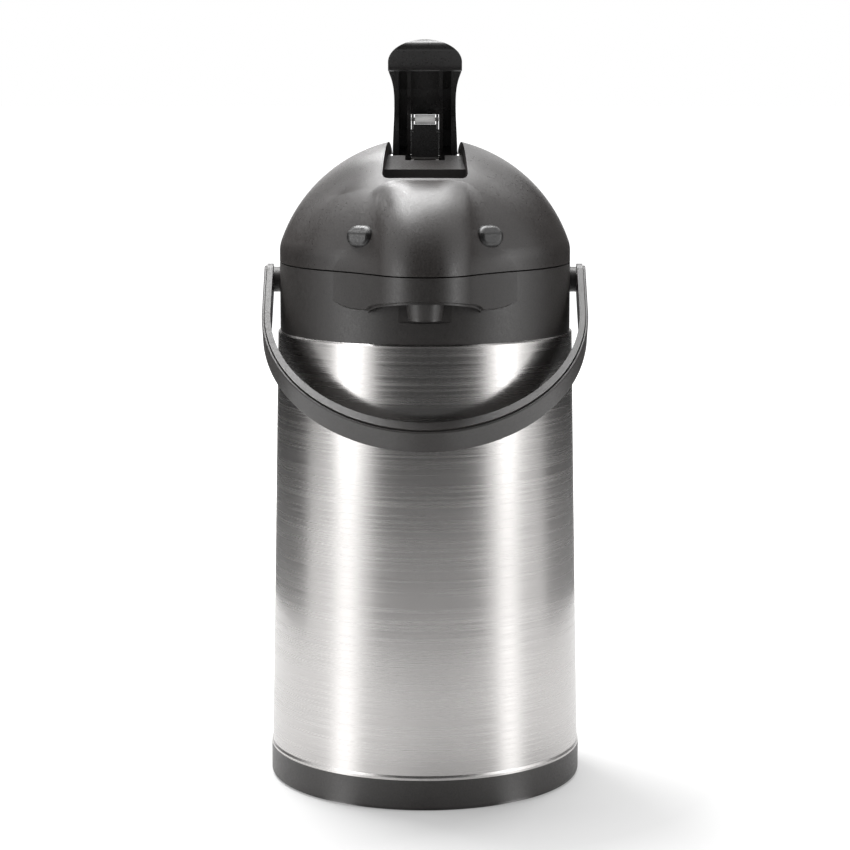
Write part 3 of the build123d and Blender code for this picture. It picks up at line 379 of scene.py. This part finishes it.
def makeTable():
    bpy.ops.object.select_all(action="DESELECT")
    bpy.ops.mesh.primitive_plane_add(size=table["size"], location=(0, 0, -table["drop"]))
    top = bpy.context.object
    top.name = "table"
    finish = Finish("whiteTable")
    away = finish.node("ShaderNodeVectorMath", {"operation": "LENGTH"}, {0: finish.place}, "Value")
    values = {"Value": away, "From Min": table["nearEdge"], "From Max": table["farEdge"],
              "To Min": table["nearGlow"], "To Max": 1.0}
    plainGlow = finish.node("ShaderNodeMapRange", {}, values)
    forward = (finish.along("Y") + table["streakCentre"]) * -1.0
    azimuth = finish.maths("ARCTAN2", finish.along("X"), forward)
    mirrorGlow = table["mirrorGlow"]
    for turn, half, level in table["streaks"]:
        aside = finish.maths("ABSOLUTE", azimuth - math.radians(turn), 0.0)
        mirrorGlow = mirrorGlow + finish.ease(aside, 0.0, math.radians(half), level, 0.0)
    seen = (finish.ray("Camera") + finish.ray("Transmission")) * plainGlow + finish.ray("Glossy") * mirrorGlow
    glow = finish.node("ShaderNodeEmission", {}, {"Color": seen, "Strength": 1.0})
    surface = finish.node("ShaderNodeAddShader", {}, {0: finish.matt(table["shade"]), 1: glow})
    top.data.materials.append(finish.output(surface))


# white where it is seen or mirrored, dimmer as a light
room = {"ambient": 0.45, "white": 1.0}


def makeRoom():
    world = bpy.data.worlds.new("whiteRoom")
    bpy.context.scene.world = world
    world.use_nodes = True
    air = Shader(world.node_tree)
    seen = air.node("ShaderNodeMath", {"operation": "ADD", "use_clamp": True},
                    {0: air.ray("Camera"), 1: air.ray("Glossy") + air.ray("Transmission")})
    level = air.node("ShaderNodeMapRange", {},
                     {"Value": seen, "To Min": room["ambient"], "To Max": room["white"]})
    glow = air.node("ShaderNodeBackground", {}, {"Color": grey(1.0), "Strength": level})
    air.node("ShaderNodeOutputWorld", {}, {"Surface": glow})


# dark cloth that only reflections see; azimuth is measured at the pot from the camera, positive to the right
darkCards = {"radius": 0.50, "height": 1.05, "sides": 120, "shade": 0.030, "paleShade": 0.30, "paleTo": 0.18,
             "topEdge": 0.52, "lowSpans": ((-37.0, 43.0), (-156.0, -93.0), (95.0, 156.0)),
             "highSpans": ((-118.0, 118.0),)}


def makeDarkCards():
    bpy.ops.object.select_all(action="DESELECT")
    bpy.ops.mesh.primitive_cylinder_add(vertices=darkCards["sides"], radius=darkCards["radius"],
                                        depth=darkCards["height"], end_fill_type="NOTHING",
                                        location=(0, 0, darkCards["height"] / 2))
    cards = bpy.context.object
    cards.name = "darkCards"
    bpy.ops.object.mode_set(mode="EDIT")
    bpy.ops.mesh.select_all(action="SELECT")
    bpy.ops.mesh.bisect(plane_co=(0, 0, darkCards["topEdge"]), plane_no=(0, 0, 1))
    bpy.ops.mesh.select_all(action="DESELECT")
    mesh = bmesh.from_edit_mesh(cards.data)
    for face in mesh.faces:
        centre = face.calc_center_median()
        turn = math.degrees(math.atan2(centre.x, -centre.y))
        spans = darkCards["highSpans"] if centre.z > darkCards["topEdge"] else darkCards["lowSpans"]
        face.select = not any(low < turn < high for low, high in spans)
    bmesh.update_edit_mesh(cards.data)
    bpy.ops.mesh.delete(type="FACE")
    bpy.ops.object.mode_set(mode="OBJECT")
    cards.visible_camera = False
    cards.visible_diffuse = False
    cards.visible_shadow = False
    cards.visible_transmission = False
    finish = Finish("darkCloth")
    foot = -darkCards["height"] / 2
    share = finish.ease(finish.along("Z"), foot, foot + darkCards["paleTo"], 0.0, 1.0)
    values = {0: share, 1: finish.matt(darkCards["paleShade"]), 2: finish.matt(darkCards["shade"])}
    cards.data.materials.append(finish.output(finish.node("ShaderNodeMixShader", {}, values)))


# level is the brightness that a mirror would show; the top and back boxes are there for the lid's highlights
sideBox = {"distance": 1.6, "height": 0.42, "tall": 0.95}
softBoxes = {
    "leftBox": {**sideBox, "azimuth": -59.5, "width": 0.60, "level": 2.4},
    "leftFade": {**sideBox, "azimuth": -44.5, "width": 0.26, "level": 1.2},
    "rightBox": {**sideBox, "azimuth": 65.0, "width": 0.44, "level": 2.5},
    "rightNear": {**sideBox, "azimuth": 51.0, "width": 0.26, "level": 1.1},
    "rightFade": {**sideBox, "azimuth": 81.0, "width": 0.36, "level": 0.8},
    "topBox": {"distance": 0.36, "height": 1.50, "tall": 0.8, "azimuth": -155.0, "width": 1.2, "level": 9.0},
    "backLeft": {"distance": 1.15, "height": 1.36, "tall": 0.75, "azimuth": -143.0, "width": 0.85,
                 "level": 18.0},
    "backRight": {"distance": 1.15, "height": 1.40, "tall": 0.50, "azimuth": 143.0, "width": 0.55,
                  "level": 12.0},
}
boxAim = Vector((0, 0, 0.2))


def makeSoftBox(name, box):
    turn = math.radians(box["azimuth"])
    place = Vector((box["distance"] * math.sin(turn), -box["distance"] * math.cos(turn), box["height"]))
    lamp = bpy.data.lights.new(name, "AREA")
    lamp.shape = "RECTANGLE"
    lamp.size = box["width"]
    lamp.size_y = box["tall"]
    lamp.energy = math.pi * box["width"] * box["tall"] * box["level"]
    holder = bpy.data.objects.new(name, lamp)
    bpy.context.scene.collection.objects.link(holder)
    holder.location = place
    holder.rotation_euler = (boxAim - place).to_track_quat("-Z", "Y").to_euler()
    holder.visible_camera = False


cameraView = {"aim": (0.0, 0.0, 0.1923), "place": (0.0, -1.362, 0.3978), "focalLength": 106.7,
              "sensorWidth": 36.0}


def makeCamera():
    lens = bpy.data.cameras.new("photoCamera")
    lens.lens = cameraView["focalLength"]
    lens.sensor_width = cameraView["sensorWidth"]
    holder = bpy.data.objects.new("photoCamera", lens)
    bpy.context.scene.collection.objects.link(holder)
    holder.location = cameraView["place"]
    direction = Vector(cameraView["aim"]) - Vector(cameraView["place"])
    holder.rotation_euler = direction.to_track_quat("-Z", "Y").to_euler()
    bpy.context.scene.camera = holder


makeBandFlare()
makeLidFlare()
makePostRibs()
print("beak, ridge and post finished")
makeTable()
makeRoom()
makeDarkCards()
for name, box in softBoxes.items():
    makeSoftBox(name, box)
makeCamera()
bpy.context.scene.view_settings.view_transform = "Standard"
print("studio ready")
